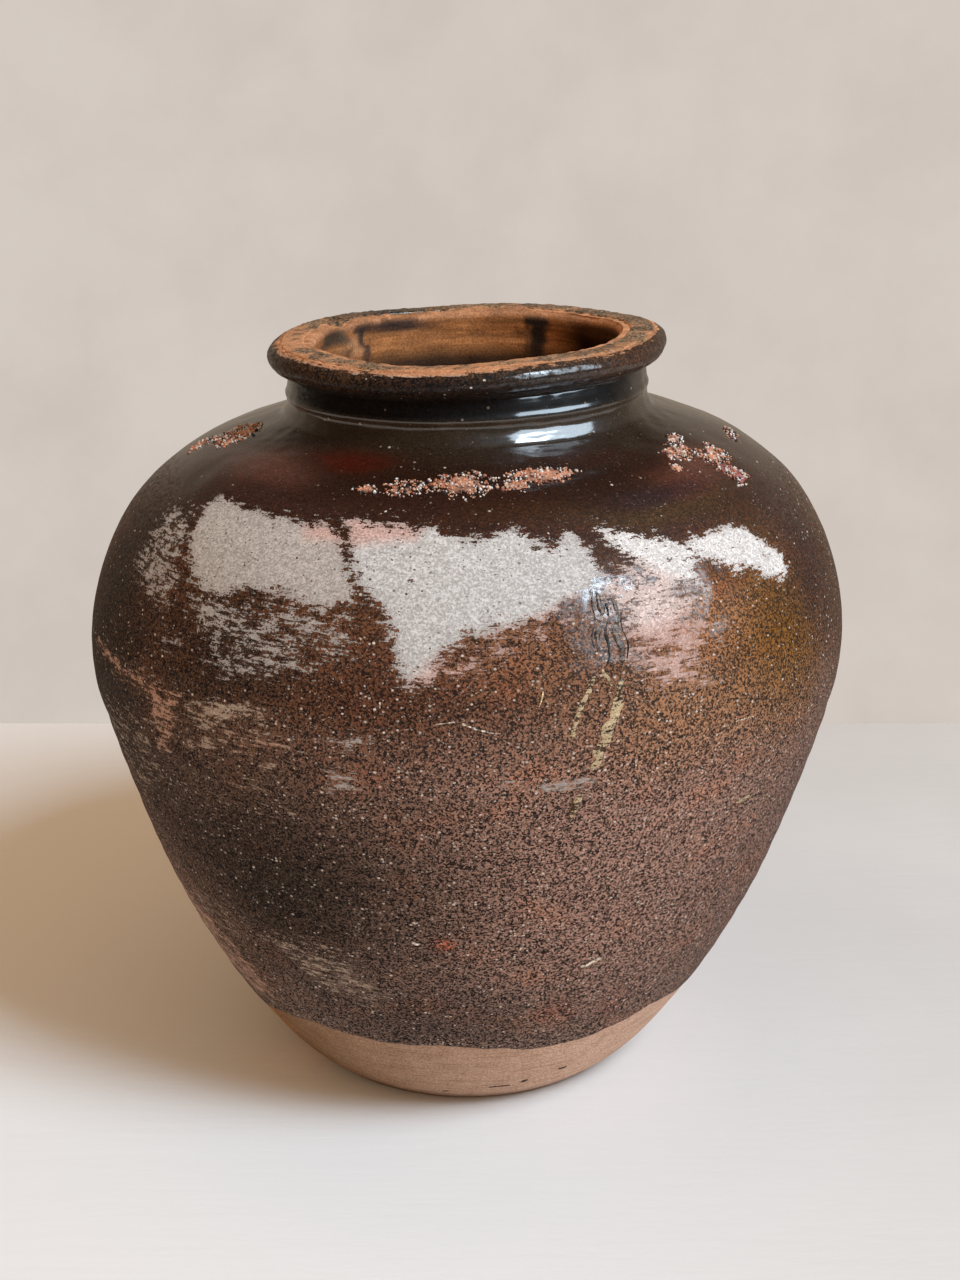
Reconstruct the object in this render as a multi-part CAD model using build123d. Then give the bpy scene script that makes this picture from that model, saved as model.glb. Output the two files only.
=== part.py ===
"""A wide-mouthed stoneware storage jar of the martaban kind, about 35 cm across and as tall.

The jar is turned about Z and stands on z = 0, with its axis on the origin. Azimuth is measured
from +X towards +Y, so the front of the jar is at -90 degrees. All sizes are in millimetres.

Such a jar is built up from a slab and thrown courses. Each course meets the next in a bevelled
luting seam, and a coil of soft clay is smeared over the seam inside. An iron slip is brushed
over the outside down to the slip line, a runny glaze is poured over the upper half, and the
wads of gritty clay that carried the next jar in the kiln leave their scars on the shoulder.
"""
import os
from math import cos, radians, sin, tan

from build123d import *

# Heights of the clay body, stretch by stretch from the floor up
belly_height = 213.0
belly_to_crown = 91.4
crown_to_neck_root = 7.4
neck_root_rise = 8.2
neck_to_bead = 8.6
bead_half_height = 2.4
bead_to_groove = 5.0
groove_to_underside = 4.0
underside_to_swell = 4.8
swell_to_top = 4.6

# Radii of the clay body: the neck's own, and how far the rest stands out from it or in from it
foot_radius = 81.5
belly_radius = 173.6
neck_radius = 79.4
neck_root_flare = 6.2
crown_flare = 21.6
bead_proud = 1.2
groove_depth = 2.8
rim_overhang = 9.1
underside_inset = 2.5
crest_inset = 3.0
lip_round = 3.2
throat_rise = 6.0

# Clay thickness, square to the wall
floor_thickness = 14.0
foot_clay = 13.0
belly_clay = 9.5
crown_clay = 10.0
neck_clay = 10.9

# Slopes in degrees: the wall where it leaves the floor, the crown at the neck, and the seams
foot_slope = 42.0
crown_slope = 19.0
seam_slope = 23.0

# Luting seams, by where they reach the outside
slab_bevel_rise = 6.0
foot_seam_height = 72.0
lower_seam_height = 150.0
shoulder_seam_height = 240.0
neck_seam_rise = 1.5

# Coils smeared over the seams inside
floor_coil_radius = 11.0
coil_half_width = 11.0
coil_half_depth = 3.0
neck_coil_half_width = 4.0
neck_coil_half_depth = 1.0

# Coats, by thickness and by where they end
slip_thickness = 0.5
glaze_thickness = 1.0
slip_line_height = 51.0
glaze_line_height = 186.0
rim_coat_drop = 2.4
lip_glaze_inner_margin = 0.9
lip_glaze_outer_margin = 2.5

# Scars of the kiln wads, on a ring round the shoulder just outside the crown
wad_ring_offset = 4.8
wad_half_length = 14.0
wad_half_width = 7.0
wad_proud = 1.4
wad_reach = 8.0
wad_azimuths = {
    "wad_scar_left": -172.0,
    "wad_scar_front_left": -97.0,
    "wad_scar_front_right": -73.5,
    "wad_scar_right": -24.5,
    "wad_scar_far_right": 10.0,
    "wad_scar_back_right": 57.0,
    "wad_scar_back_left": 121.0,
}

# Trickle of thick glaze down the belly
trickle_azimuth = -71.0
trickle_top_drop = 34.7
trickle_foot_rise = 3.0
trickle_width = 5.5
trickle_spread = 8.0
trickle_proud = 1.2

# Each scar's half length and half width, as shares of the usual ones, in the order above
wad_size_shares = ((0.93, 1.29), (1.57, 0.89), (1, 0.86), (1, 1.43), (0.86, 0.86), (1.07, 1.07), (1.21, 1))

# A squashed wad's edge, as shares of its half length and half width at equal steps round it
wad_edge_shares = (1.0, 0.9, 1.04, 0.94, 1.02, 0.88, 1.06, 0.95)

# Outline shares, chosen by hand: of the rise and the reach from foot to belly and belly to crown
lower_wall_shares = ((0.047, 0.117), (0.132, 0.269), (0.282, 0.479), (0.488, 0.699), (0.732, 0.883))
upper_wall_shares = ((0.295, 0.062), (0.531, 0.193), (0.72, 0.374), (0.852, 0.591), (0.931, 0.765))

# The trickle's two legs: sideways as shares of the spread, and up from its foot to its top
left_leg_shares = ((0.1, 1.0), (-0.2, 0.58), (-1.0, 0.3), (-0.75, 0.0))
right_leg_shares = ((0.25, 0.94), (0.3, 0.58), (1.0, 0.32), (-0.3, 0.03))

# Heights and radii that follow
crown_height = belly_height + belly_to_crown
neck_root_height = crown_height + crown_to_neck_root
neck_height = neck_root_height + neck_root_rise
bead_height = neck_height + neck_to_bead
groove_height = bead_height + bead_to_groove
underside_height = groove_height + groove_to_underside
swell_height = underside_height + underside_to_swell
rim_top_height = swell_height + swell_to_top
neck_root_radius = neck_radius + neck_root_flare
crown_radius = neck_root_radius + crown_flare
rim_radius = neck_radius + rim_overhang
mouth_radius = neck_radius - neck_clay

# Every cutting shape runs past what it cuts by this much
overrun = rim_top_height + belly_radius

# Steps along a smooth curve when it is moved outwards for a coat
raised_steps = 48


def wall_stations():
    """Points (radius, height) up the outside of the clay wall, from the foot to the neck's root."""
    reach = belly_radius - foot_radius
    lower = [
        (foot_radius + across * reach, up * belly_height) for up, across in lower_wall_shares
    ]
    rise = crown_height - belly_height
    reach = belly_radius - crown_radius
    upper = [
        (belly_radius - across * reach, belly_height + up * rise) for up, across in upper_wall_shares
    ]
    belly = (belly_radius, belly_height)
    crown = (crown_radius, crown_height)
    return [(foot_radius, 0), *lower, belly, *upper, crown, (neck_root_radius, neck_root_height)]


def end_directions():
    """Unit directions of the wall where it leaves the floor and where it reaches the neck."""
    start = radians(foot_slope)
    end = radians(crown_slope)
    return [(cos(start), sin(start)), (-cos(end), sin(end))]


def clay_at(height):
    """Thickness of the clay at a height: it thins up to the belly and thickens to the crown."""
    if height < belly_height:
        return foot_clay + (belly_clay - foot_clay) * height / belly_height
    share = (height - belly_height) / (neck_root_height - belly_height)
    return belly_clay + (crown_clay - belly_clay) * share


def inner_wall(outside):
    """The inside of the wall: each station but the lowest, moved square in by the clay there."""
    points = []
    for radius, height in wall_stations()[1:]:
        along = outside.tangent_at(outside.param_at_point(Vector(radius, height)))
        points.append(Vector(radius, height) + Vector(-along.Y, along.X) * clay_at(height))
    return Spline(*points, tangents=end_directions())


def outside_curves():
    """The clay's outside from the floor to the rim's crest: wall, neck, bead, groove and roll."""
    wall = Spline(*wall_stations(), tangents=end_directions())
    crest = (rim_radius - crest_inset, rim_top_height)
    bead_foot = (neck_radius, bead_height - bead_half_height)
    bead_top = (neck_radius, bead_height + bead_half_height)
    groove = (neck_radius - groove_depth, groove_height)
    underside = (rim_radius - underside_inset, underside_height)
    return [
        wall,
        Spline(wall @ 1, (neck_radius, neck_height), tangents=[wall % 1, (0, 1)]),
        Line((neck_radius, neck_height), bead_foot),
        ThreePointArc(bead_foot, (neck_radius + bead_proud, bead_height), bead_top),
        Line(bead_top, groove),
        Line(groove, underside),
        ThreePointArc(underside, (rim_radius, swell_height), crest),
    ]


def outward(along):
    """The unit direction square to a run up the outside, pointing away from the jar."""
    return Vector(along.Y, -along.X)


def raised(curves, amount):
    """The same run of curves moved outwards, with each corner moved to where its sides meet."""
    before = [curves[0] % 0] + [curve % 1 for curve in curves]
    after = [curve % 0 for curve in curves] + [curves[-1] % 1]
    corners = [curves[0] @ 0] + [curve @ 1 for curve in curves]
    ends = []
    for corner, reached, left in zip(corners, before, after):
        shift = outward(reached) + outward(left)
        ends.append(corner + shift * (amount / (1 + outward(reached).dot(outward(left)))))
    moved = []
    for curve, start, end in zip(curves, ends, ends[1:]):
        if curve.geom_type == GeomType.LINE:
            moved.append(Line(start, end))
        elif curve.geom_type == GeomType.CIRCLE:
            middle = curve @ 0.5 + outward(curve % 0.5) * amount
            moved.append(ThreePointArc(start, middle, end))
        else:
            places = [step / raised_steps for step in range(1, raised_steps)]
            points = [curve @ place + outward(curve % place) * amount for place in places]
            moved.append(Spline(start, *points, end, tangents=[curve % 0, curve % 1]))
    return moved


def closed(curves):
    """A face from a closed run of curves."""
    return make_face(Wire([edge for curve in curves for edge in curve.edges()]))


def envelope_section(curves):
    """Half section of the jar as if it were solid, inside a run of curves up its outside."""
    start = curves[0] @ 0
    end = curves[-1] @ 1
    floor = Line((0, start.Y), start)
    return closed([floor, *curves, Line(end, (0, end.Y)), Line((0, end.Y), (0, start.Y))])


def floor_corner(inside):
    """Where the inside of the wall, run straight on downwards, meets the top of the floor."""
    start = inside @ 0
    return Vector(start.X - (start.Y - floor_thickness) / tan(radians(foot_slope)), floor_thickness)


def hollow_section(inside):
    """Half section of the room inside the jar, from the floor up through the mouth."""
    corner = floor_corner(inside)
    throat = (mouth_radius, neck_height + throat_rise)
    round_foot = (mouth_radius, rim_top_height - lip_round)
    round_top = (mouth_radius + lip_round, rim_top_height)
    return closed(
        [
            Line((0, floor_thickness), corner),
            Line(corner, inside @ 0),
            inside,
            Spline(inside @ 1, throat, tangents=[inside % 1, (0, 1)]),
            Line(throat, round_foot),
            RadiusArc(round_foot, round_top, lip_round),
            Line(round_top, (0, rim_top_height)),
            Line((0, rim_top_height), (0, floor_thickness)),
        ]
    )


def outside_at(outside, height):
    """Where a level line meets the outside of the wall, as a point (radius, height)."""
    level = Line((foot_radius, height), (overrun, height))
    return outside.intersect(level).vertices()[0].center()


def seam_edges(outside):
    """The ends of each luting seam's line: it falls inwards from where it shows outside."""
    slab_seam_height = floor_thickness + slab_bevel_rise
    heights = [slab_seam_height, foot_seam_height, lower_seam_height, shoulder_seam_height]
    starts = [outside_at(outside, height) for height in heights]
    starts.append(Vector(neck_radius, neck_height + neck_seam_rise))
    starts.append(Vector(neck_radius - groove_depth, groove_height))
    slope = tan(radians(seam_slope))
    return [
        ((0, at.Y - at.X * slope), (overrun, at.Y + (overrun - at.X) * slope)) for at in starts
    ]


def clay_courses(clay, seams):
    """The slab and the thrown courses, each the clay between one seam and the next."""
    names = ["foot_wall", "lower_wall", "belly_wall", "shoulder_wall", "neck_collar", "rim_roll"]
    floor_line = ((0, -overrun), (overrun, -overrun))
    sky_line = ((0, overrun), (overrun, overrun + overrun * tan(radians(seam_slope))))
    bounds = [floor_line, *seams[1:], sky_line]
    slab_zone = make_face(Polyline(*floor_line, seams[0][1], seams[0][0], close=True))
    floor_zone = band(0, floor_thickness)
    slab = clay & (slab_zone + floor_zone)
    sections = {"base_slab": slab}
    for name, below, above in zip(names, bounds, bounds[1:]):
        zone = make_face(Polyline(*below, above[1], above[0], close=True))
        sections[name] = (clay & zone) - slab
    return sections


def band(low, high, inner=0, outer=overrun):
    """A rectangle of the half section between two heights and two radii."""
    return make_face(Polyline((inner, low), (outer, low), (outer, high), (inner, high), close=True))


def coil_sections(clay, hollow, inside, seams):
    """The coils smeared over the seams inside, each as what stands out of the wall."""
    sections = {"floor_coil": hollow & Pos(floor_corner(inside)) * Circle(floor_coil_radius)}
    names = ["foot_seam_coil", "lower_seam_coil", "shoulder_seam_coil"]
    shapes = [(name, coil_half_width, coil_half_depth) for name in names]
    shapes.append(("neck_seam_coil", neck_coil_half_width, neck_coil_half_depth))
    wall = clay.face().outer_wire()
    for (name, half_width, half_depth), seam in zip(shapes, seams[1:]):
        crossings = wall.intersect(Line(*seam)).vertices().sort_by(Axis.X)
        where = crossings[-2].center()
        along = wall.tangent_at(wall.param_at_point(where))
        turn = Rot(0, 0, Vector(1, 0).get_signed_angle(along))
        sections[name] = hollow & Pos(where) * turn * Ellipse(half_width, half_depth)
    return sections


def turned(section):
    """A half section turned once round the jar's axis."""
    return revolve(Plane.XZ * section, Axis.Z)


def wad_edge(half_length, half_width, first):
    """The closed edge of a squashed wad, starting the round of shares at a given place."""
    count = len(wad_edge_shares)
    points = []
    for step in range(count):
        share = wad_edge_shares[(step + first) % count]
        angle = radians(360 * step / count)
        points.append((half_length * share * cos(angle), half_width * share * sin(angle)))
    return make_face(Spline(*points, periodic=True))


def wad_prisms(outside):
    """The column of each wad, standing square to the shoulder on the wad ring."""
    ring_radius = crown_radius + wad_ring_offset
    post = Line((ring_radius, belly_height), (ring_radius, rim_top_height))
    at = outside.intersect(post).vertices()[0].center()
    normal = outward(outside.tangent_at(outside.param_at_point(at)))
    ground = Plane(origin=(at.X, 0, at.Y), x_dir=(0, 1, 0), z_dir=(normal.X, 0, normal.Y))
    prisms = {}
    for first, (name, shares) in enumerate(zip(wad_azimuths, wad_size_shares)):
        edge = wad_edge(wad_half_length * shares[0], wad_half_width * shares[1], first)
        column = extrude(ground * edge, wad_reach, both=True)
        prisms[name] = Rot(0, 0, wad_azimuths[name]) * column
    return prisms


def trickle_prism():
    """The trickle's two legs seen from the front, drawn on an upright plane and pushed outwards."""
    foot_height = glaze_line_height + trickle_foot_rise
    drop = crown_height - trickle_top_drop - foot_height
    outline = Sketch()
    for shares in (left_leg_shares, right_leg_shares):
        points = [(across * trickle_spread, foot_height + up * drop) for across, up in shares]
        outline += trace(Spline(*points), line_width=trickle_width)
        for point in (points[0], points[-1]):
            outline += Pos(*point) * Circle(trickle_width / 2)
    upright = Plane(origin=(0, 0, 0), x_dir=(0, 1, 0), z_dir=(1, 0, 0))
    return Rot(0, 0, trickle_azimuth) * extrude(upright * outline, overrun)


def coat_nodes(curves):
    """Slip, glaze, wad scars and trickle, built as skins that lie face to face."""
    coats = slip_thickness + glaze_thickness
    rim_coat_height = rim_top_height - rim_coat_drop
    envelope = envelope_section(curves)
    over_slip = envelope_section(raised(curves, slip_thickness))
    over_glaze = envelope_section(raised(curves, coats))
    over_trickle = envelope_section(raised(curves[:1], coats + trickle_proud))
    over_wads = envelope_section(raised(curves[:2], coats + wad_proud))
    slip = (over_slip - envelope) & band(slip_line_height, rim_coat_height, mouth_radius)
    glaze = (over_glaze - over_slip) & band(glaze_line_height, rim_coat_height, mouth_radius)
    glaze_solid = turned(glaze)
    wad_skin = turned((over_wads - over_slip) & band(belly_height, neck_height, neck_radius))
    nodes = {"iron_slip": turned(slip)}
    for name, prism in wad_prisms(curves[0]).items():
        nodes[name] = wad_skin & prism
        glaze_solid = glaze_solid - prism
    nodes["poured_glaze"] = glaze_solid
    trickle_skin = (over_trickle - over_glaze) & band(glaze_line_height, crown_height, crown_radius)
    nodes["glaze_trickle"] = turned(trickle_skin) & trickle_prism()
    lip_inner = mouth_radius + lip_round + lip_glaze_inner_margin
    lip_outer = rim_radius - crest_inset - lip_glaze_outer_margin
    lip_top = rim_top_height + glaze_thickness
    nodes["lip_glaze"] = turned(band(rim_top_height, lip_top, lip_inner, lip_outer))
    return nodes


def main():
    os.makedirs("parts", exist_ok=True)
    curves = outside_curves()
    inside = inner_wall(curves[0])
    hollow = hollow_section(inside)
    clay = envelope_section(curves) - hollow
    seams = seam_edges(curves[0])
    nodes = {name: turned(cut) for name, cut in clay_courses(clay, seams).items()}
    nodes |= {name: turned(cut) for name, cut in coil_sections(clay, hollow, inside, seams).items()}
    nodes |= coat_nodes(curves)
    for name, node in nodes.items():
        export_step(node, f"parts/{name}.step")
        print(f"{name}: {len(node.solids())} solid, {node.volume / 1000:.1f} cm3")


main()
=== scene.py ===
# %% [markdown]
# # A martaban storage jar
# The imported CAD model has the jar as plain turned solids: courses of clay, coils over their seams, two
# coats and kiln scars. This lesson adds an uneven surface and finishes made of nodes. Lengths are in
# metres unless a title says otherwise. Turns are 0 degrees at the front, 90 on the right, -90 on the left.

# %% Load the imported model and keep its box
from itertools import combinations

import bmesh
import bpy
import numpy as np
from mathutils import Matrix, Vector


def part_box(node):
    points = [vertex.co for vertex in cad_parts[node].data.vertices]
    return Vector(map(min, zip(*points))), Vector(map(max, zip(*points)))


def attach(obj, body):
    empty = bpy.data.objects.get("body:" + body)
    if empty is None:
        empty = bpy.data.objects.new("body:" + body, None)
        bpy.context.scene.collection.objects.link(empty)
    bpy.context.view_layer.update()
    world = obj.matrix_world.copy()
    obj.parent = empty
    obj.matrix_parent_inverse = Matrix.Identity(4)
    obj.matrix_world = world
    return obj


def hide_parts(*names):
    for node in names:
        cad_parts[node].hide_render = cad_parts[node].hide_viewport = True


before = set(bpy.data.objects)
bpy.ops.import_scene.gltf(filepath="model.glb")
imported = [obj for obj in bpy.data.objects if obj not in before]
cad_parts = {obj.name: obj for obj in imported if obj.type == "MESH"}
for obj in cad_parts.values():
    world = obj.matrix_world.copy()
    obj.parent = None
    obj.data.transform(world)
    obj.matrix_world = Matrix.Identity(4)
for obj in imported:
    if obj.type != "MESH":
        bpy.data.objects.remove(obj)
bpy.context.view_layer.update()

# %% [markdown]
# ## The wall's outline
# Jar and solids are turned, so one line of (radius, height) gives the outside and another the inside.
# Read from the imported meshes, they keep each new piece on the surface that it covers. Only the seams'
# bevels, whose faces look down, stay out.

# %% Read both lines
COURSES = ["base_slab", "foot_wall", "lower_wall", "belly_wall", "shoulder_wall", "neck_collar", "rim_roll"]
FLAT, STEEP = 0.15, 0.5


def unit(vectors):
    """Each vector's direction, 1 long."""
    return vectors / (np.linalg.norm(vectors, axis=1, keepdims=True) + 1e-20)


def facing_points(node, side):
    """(radius, height) of a node's corners on one side of the wall, 1 outside and -1 inside: faces steeper
    than FLAT, and up to STEEP only those that look up outside or down inside."""
    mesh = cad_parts[node].data
    order = [loop.vertex_index for loop in mesh.loops]
    corners = np.array([point.co for point in mesh.vertices])[order].reshape(-1, 3, 3)
    normal = unit(np.cross(corners[:, 1] - corners[:, 0], corners[:, 2] - corners[:, 0]))
    middle = corners.mean(axis=1)
    along = side * (normal * middle)[:, :2].sum(axis=1) / np.hypot(*middle[:, :2].T)
    kept = corners[(along > FLAT) & ((along > STEEP) | (side * normal[:, 2] > 0))].reshape(-1, 3)
    return np.stack([np.hypot(*kept[:, :2].T), kept[:, 2]], axis=1)


def sorted_line(points):
    """Points by their heights, each height once."""
    return points[np.unique(np.round(points[:, 1], 5), return_index=True)[1]]


def travelled(line):
    """The way along a line to each of its points: the running sum of the distances."""
    return np.concatenate([[0], np.cumsum(np.linalg.norm(np.diff(line, axis=0), axis=1))])


def stretch(line, low, high, step):
    """Points on a line between two heights, evenly spaced, about a step apart."""
    run = travelled(line)
    ends = np.interp([low, high], line[:, 1], run)
    places = np.linspace(*ends, max(3, int(abs(ends[1] - ends[0]) / step) + 1))
    return np.stack([np.interp(places, run, column) for column in line.T], axis=1)


outside = sorted_line(np.concatenate([facing_points(node, 1) for node in COURSES]))
inside = sorted_line(np.concatenate([facing_points(node, -1) for node in COURSES[1:]]))
print("outside", len(outside), "inside", len(inside), "widest", outside[:, 0].max())

# %% [markdown]
# A place on the wall is a turn and a run, the way up the wall from the foot. A coat is that place
# moved out along the wall's normal, averaged over 17 steps of half a millimetre, because glaze fills
# a sharp corner rather than following it.

# %% Even steps up the wall, and the normal at each
WALL_STEP, NORMAL_STEPS = 0.0005, 17


def evened(column, count):
    """Each value's average with its neighbours, count in all; the end values are carried on."""
    return np.convolve(np.pad(column, count // 2, mode="edge"), np.ones(count) / count, "valid")


wall = stretch(outside, outside[0, 1], outside[-1, 1], WALL_STEP)
wall_run = travelled(wall)
upwards = unit(np.gradient(wall, wall_run, axis=0))
wall_normal = unit(np.stack([evened(part, NORMAL_STEPS) for part in (upwards[:, 1], -upwards[:, 0])], axis=1))


def run_at(height):
    """The run at which a height is reached."""
    return np.interp(height, wall[:, 1], wall_run)


def at_run(run, line=wall):
    """A line's two values at a run: radius and height for the wall."""
    return [np.interp(run, wall_run, column) for column in line.T]


print("wall", round(wall_run[-1], 4), "m long, belly at a run of", round(float(run_at(0.213)), 4))

# %% [markdown]
# ## Uneven, but the same each time
# Clay, glaze and weather are uneven at every size. Materials have Blender's noise for that, shapes
# value noise: a hashed number at each corner of a lattice and a smooth mix in between, so that the
# same place always gets the same lump.

# %% Eased steps, bells and lumps
MM_PER_DEGREE = 2.7
SHEET_RADIUS = 0.15


def eased(share):
    """0 below 0, 1 above 1, and between them t times t times (3 - 2t)."""
    share = np.clip(share, 0, 1)
    return share * share * (3 - 2 * share)


def bell(*offsets, power=2):
    """e to minus the sum of the offsets, each to a power: 1 in the middle and 0 far away."""
    return np.exp(-sum(offset ** power for offset in offsets))


def apart_from(turn, centre, scale=MM_PER_DEGREE):
    """Millimetres round the wall from a centre in degrees, or another scale a degree."""
    return ((np.degrees(turn) - centre + 180) % 360 - 180) * scale


def lumps(x, y, size, seed):
    """Smooth lumps from -1 to 1: the mix of the numbers at the lattice's four corners round a point."""
    x, y = np.broadcast_arrays(x / size + 500.0, y / size + 500.0)
    left, low = np.floor(x).astype(np.int64), np.floor(y).astype(np.int64)
    across, up = eased(x - left), eased(y - low)

    def number(column, row):
        key = column * 374761393 + row * 668265263 + seed * 1442695041
        key = (key ^ (key >> 13)) * 1274126177 & 0x7FFFFFFF
        return ((key ^ (key >> 16)) & 0xFFFF) / 32767.5 - 1

    lower = number(left, low) * (1 - across) + number(left + 1, low) * across
    upper = number(left, low + 1) * (1 - across) + number(left + 1, low + 1) * across
    return lower * (1 - up) + upper * up


def lumps_round(turn, run, size, seed):
    """Lumps that meet at the back: two sheets of them, each with its join on the other side."""
    first = lumps(turn * SHEET_RADIUS, run, size, seed)
    second = lumps(((turn + np.pi * 2) % (np.pi * 2)) * SHEET_RADIUS, run, size, seed + 1)
    share = eased((np.abs(turn) - 1.2) / 0.8)
    return first * (1 - share) + second * share


def uneven(turn, run, *layers):
    """A sum of lumps on the wall: each layer's height and size in mm, and its seed."""
    return sum(height / 1000 * lumps_round(turn, run, size / 1000, seed) for height, size, seed in layers)


print("a lump", round(float(lumps(0.1, 0.2, 0.01, 3)), 3))

# %% [markdown]
# ## How the jar leans
# In the photograph foot and belly are true rings, and the upper half sags to the left: the shoulder
# rises one degree to the right, the rim two. At the back on the left a thumb has pushed a pocket into
# the lip. One function of place bends every piece, as the soft pot bent.

# %% From turn, radius and height to a point
POCKET_TURN, MOUTH_RADIUS = -124, 0.072


def leaned(turn, radius, height):
    """Points of the leaning jar: x is the radius times the turn's sine and y minus its cosine; the height
    gains x times a slope that eases in above the belly, and a wave at the rim. The pocket is a
    bell-shaped hollow in the lip, and the clay from it bulges inwards below."""
    turn, radius, height = np.broadcast_arrays(turn, radius, height)
    along = apart_from(turn, POCKET_TURN, np.pi / 180) * MOUTH_RADIUS
    pocket = bell(along / 0.006, (radius - 0.0735) / 0.005) * eased((height - 0.334) / 0.009)
    lump = bell((along - 0.003) / 0.006, (height - 0.337) / 0.0048) * eased((0.0705 - radius) / 0.001)
    radius = radius - 0.005 * lump
    x = radius * np.sin(turn)
    slope = 0.0192 * eased((height - 0.15) / 0.1) + 0.0157 * eased((height - 0.3) / 0.038)
    wave = eased((height - 0.328) / 0.012) * (0.0007 * np.sin(2 * turn - 0.9) + 0.0005 * np.sin(5 * turn))
    return np.stack([x, -radius * np.cos(turn), height - 0.0046 * pocket + x * slope + wave], axis=-1)


def hand(turn, run):
    """The potter's unevenness, none at the foot."""
    return uneven(turn, run, (0.22, 45, 11), (0.1, 12, 12)) * eased(run / 0.02)


def on_wall(turn, run, proud):
    """Points over the clay's outside: the outline, moved along its normal by proud and by the potter's
    unevenness, and then leaned."""
    out = proud + hand(turn, run)
    return leaned(turn, *(place + out * normal for place, normal in zip(at_run(run), at_run(run, wall_normal))))


print("rim's right and left:", leaned(np.radians([90.0, -90.0]), 0.088, 0.343)[:, 2].round(4))

# %% [markdown]
# ## From arrays to a mesh
# Each piece is a grid of points whose columns go round the jar or round the piece. The helpers make
# its faces, store painted values, close its poles and tie it to the frame.

# %% Mesh helpers
SAME_POINT, SHARP_ANGLE = 1e-7, 0.9


def round_once(count, start=-np.pi):
    """A row of angles, evenly spaced over a full turn."""
    return np.linspace(start, start + 2 * np.pi, count, endpoint=False)[None, :]


def skin(grid, looped=False):
    """Points and four-sided faces of a grid whose columns go all the way round, and its rows too if
    looped. The faces are turned over if they enclose a volume below 0: the sum of each one's middle
    times the cross product of its diagonals."""
    rows, columns = grid.shape[:2]
    row, column = np.arange(rows if looped else rows - 1)[:, None], np.arange(columns)[None, :]
    here, above, beside = row * columns, (row + 1) % rows * columns, (column + 1) % columns
    corners = [here + column, here + beside, above + beside, above + column]
    faces, points = np.stack(np.broadcast_arrays(*corners), axis=-1).reshape(-1, 4), grid.reshape(-1, 3)
    twice = np.cross(points[faces[:, 2]] - points[faces[:, 0]], points[faces[:, 3]] - points[faces[:, 1]])
    return points, faces[:, ::-1] if (twice * points[faces].mean(axis=1)).sum() < 0 else faces


def placed(name, data):
    """An object with the data, in the scene."""
    made = bpy.data.objects.new(name, data)
    bpy.context.scene.collection.objects.link(made)
    return made


def make_piece(name, shapes, finish, slot, nodes, **painted):
    """A finished piece from shapes, each its points and their faces, and from painted values, one value
    or colour a point."""
    starts = np.cumsum([0] + [len(points) for points, *_ in shapes])
    faces = [(group + start).tolist() for (_, *groups), start in zip(shapes, starts) for group in groups]
    points = np.concatenate([points for points, *_ in shapes])
    mesh = bpy.data.meshes.new(name)
    mesh.from_pydata(points.tolist(), [], sum(faces, []))
    for label, values in painted.items():
        values = np.reshape(values, (len(points), -1)).astype(np.float32)
        if values.shape[1] == 3:
            shown = mesh.attributes.new(label, "FLOAT_COLOR", "POINT").data
            shown.foreach_set("color", np.insert(values, 3, 1, axis=1).ravel())
        else:
            mesh.attributes.new(label, "FLOAT", "POINT").data.foreach_set("value", values.ravel())
    shaped = bmesh.new()
    shaped.from_mesh(mesh)
    bmesh.ops.remove_doubles(shaped, verts=shaped.verts, dist=SAME_POINT)
    shaped.to_mesh(mesh)
    shaped.free()
    mesh.shade_smooth()
    mesh.set_sharp_from_angle(angle=SHARP_ANGLE)
    mesh.materials.append(finish)
    piece = placed(name, mesh)
    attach(piece, "root")
    if nodes:
        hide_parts(*nodes)
    print(name, len(mesh.vertices), "points", len(mesh.polygons), "faces")

# %% [markdown]
# ## Shader arithmetic
# A finish is a formula, easier to read as Python than as drawn nodes. A Signal wraps one socket, and
# each operator on it adds a Math node. Other nodes come from Finish.node.

# %% The Signal and Finish classes
def operator(operation, turned=False):
    """A Signal's method: adds an operation's Math node, with its terms turned if asked."""
    def method(one, other):
        terms = (other, one) if turned else (one, other)
        return one.finish.node("Math", dict(enumerate(terms)), operation=operation)
    return method


class Signal:
    """A number that comes out of a node, for Python formulas."""

    def __init__(self, finish, socket):
        self.finish, self.socket = finish, socket

    __add__ = __radd__ = operator("ADD")
    __mul__ = __rmul__ = operator("MULTIPLY")
    __sub__, __rsub__ = operator("SUBTRACT"), operator("SUBTRACT", True)


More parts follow.
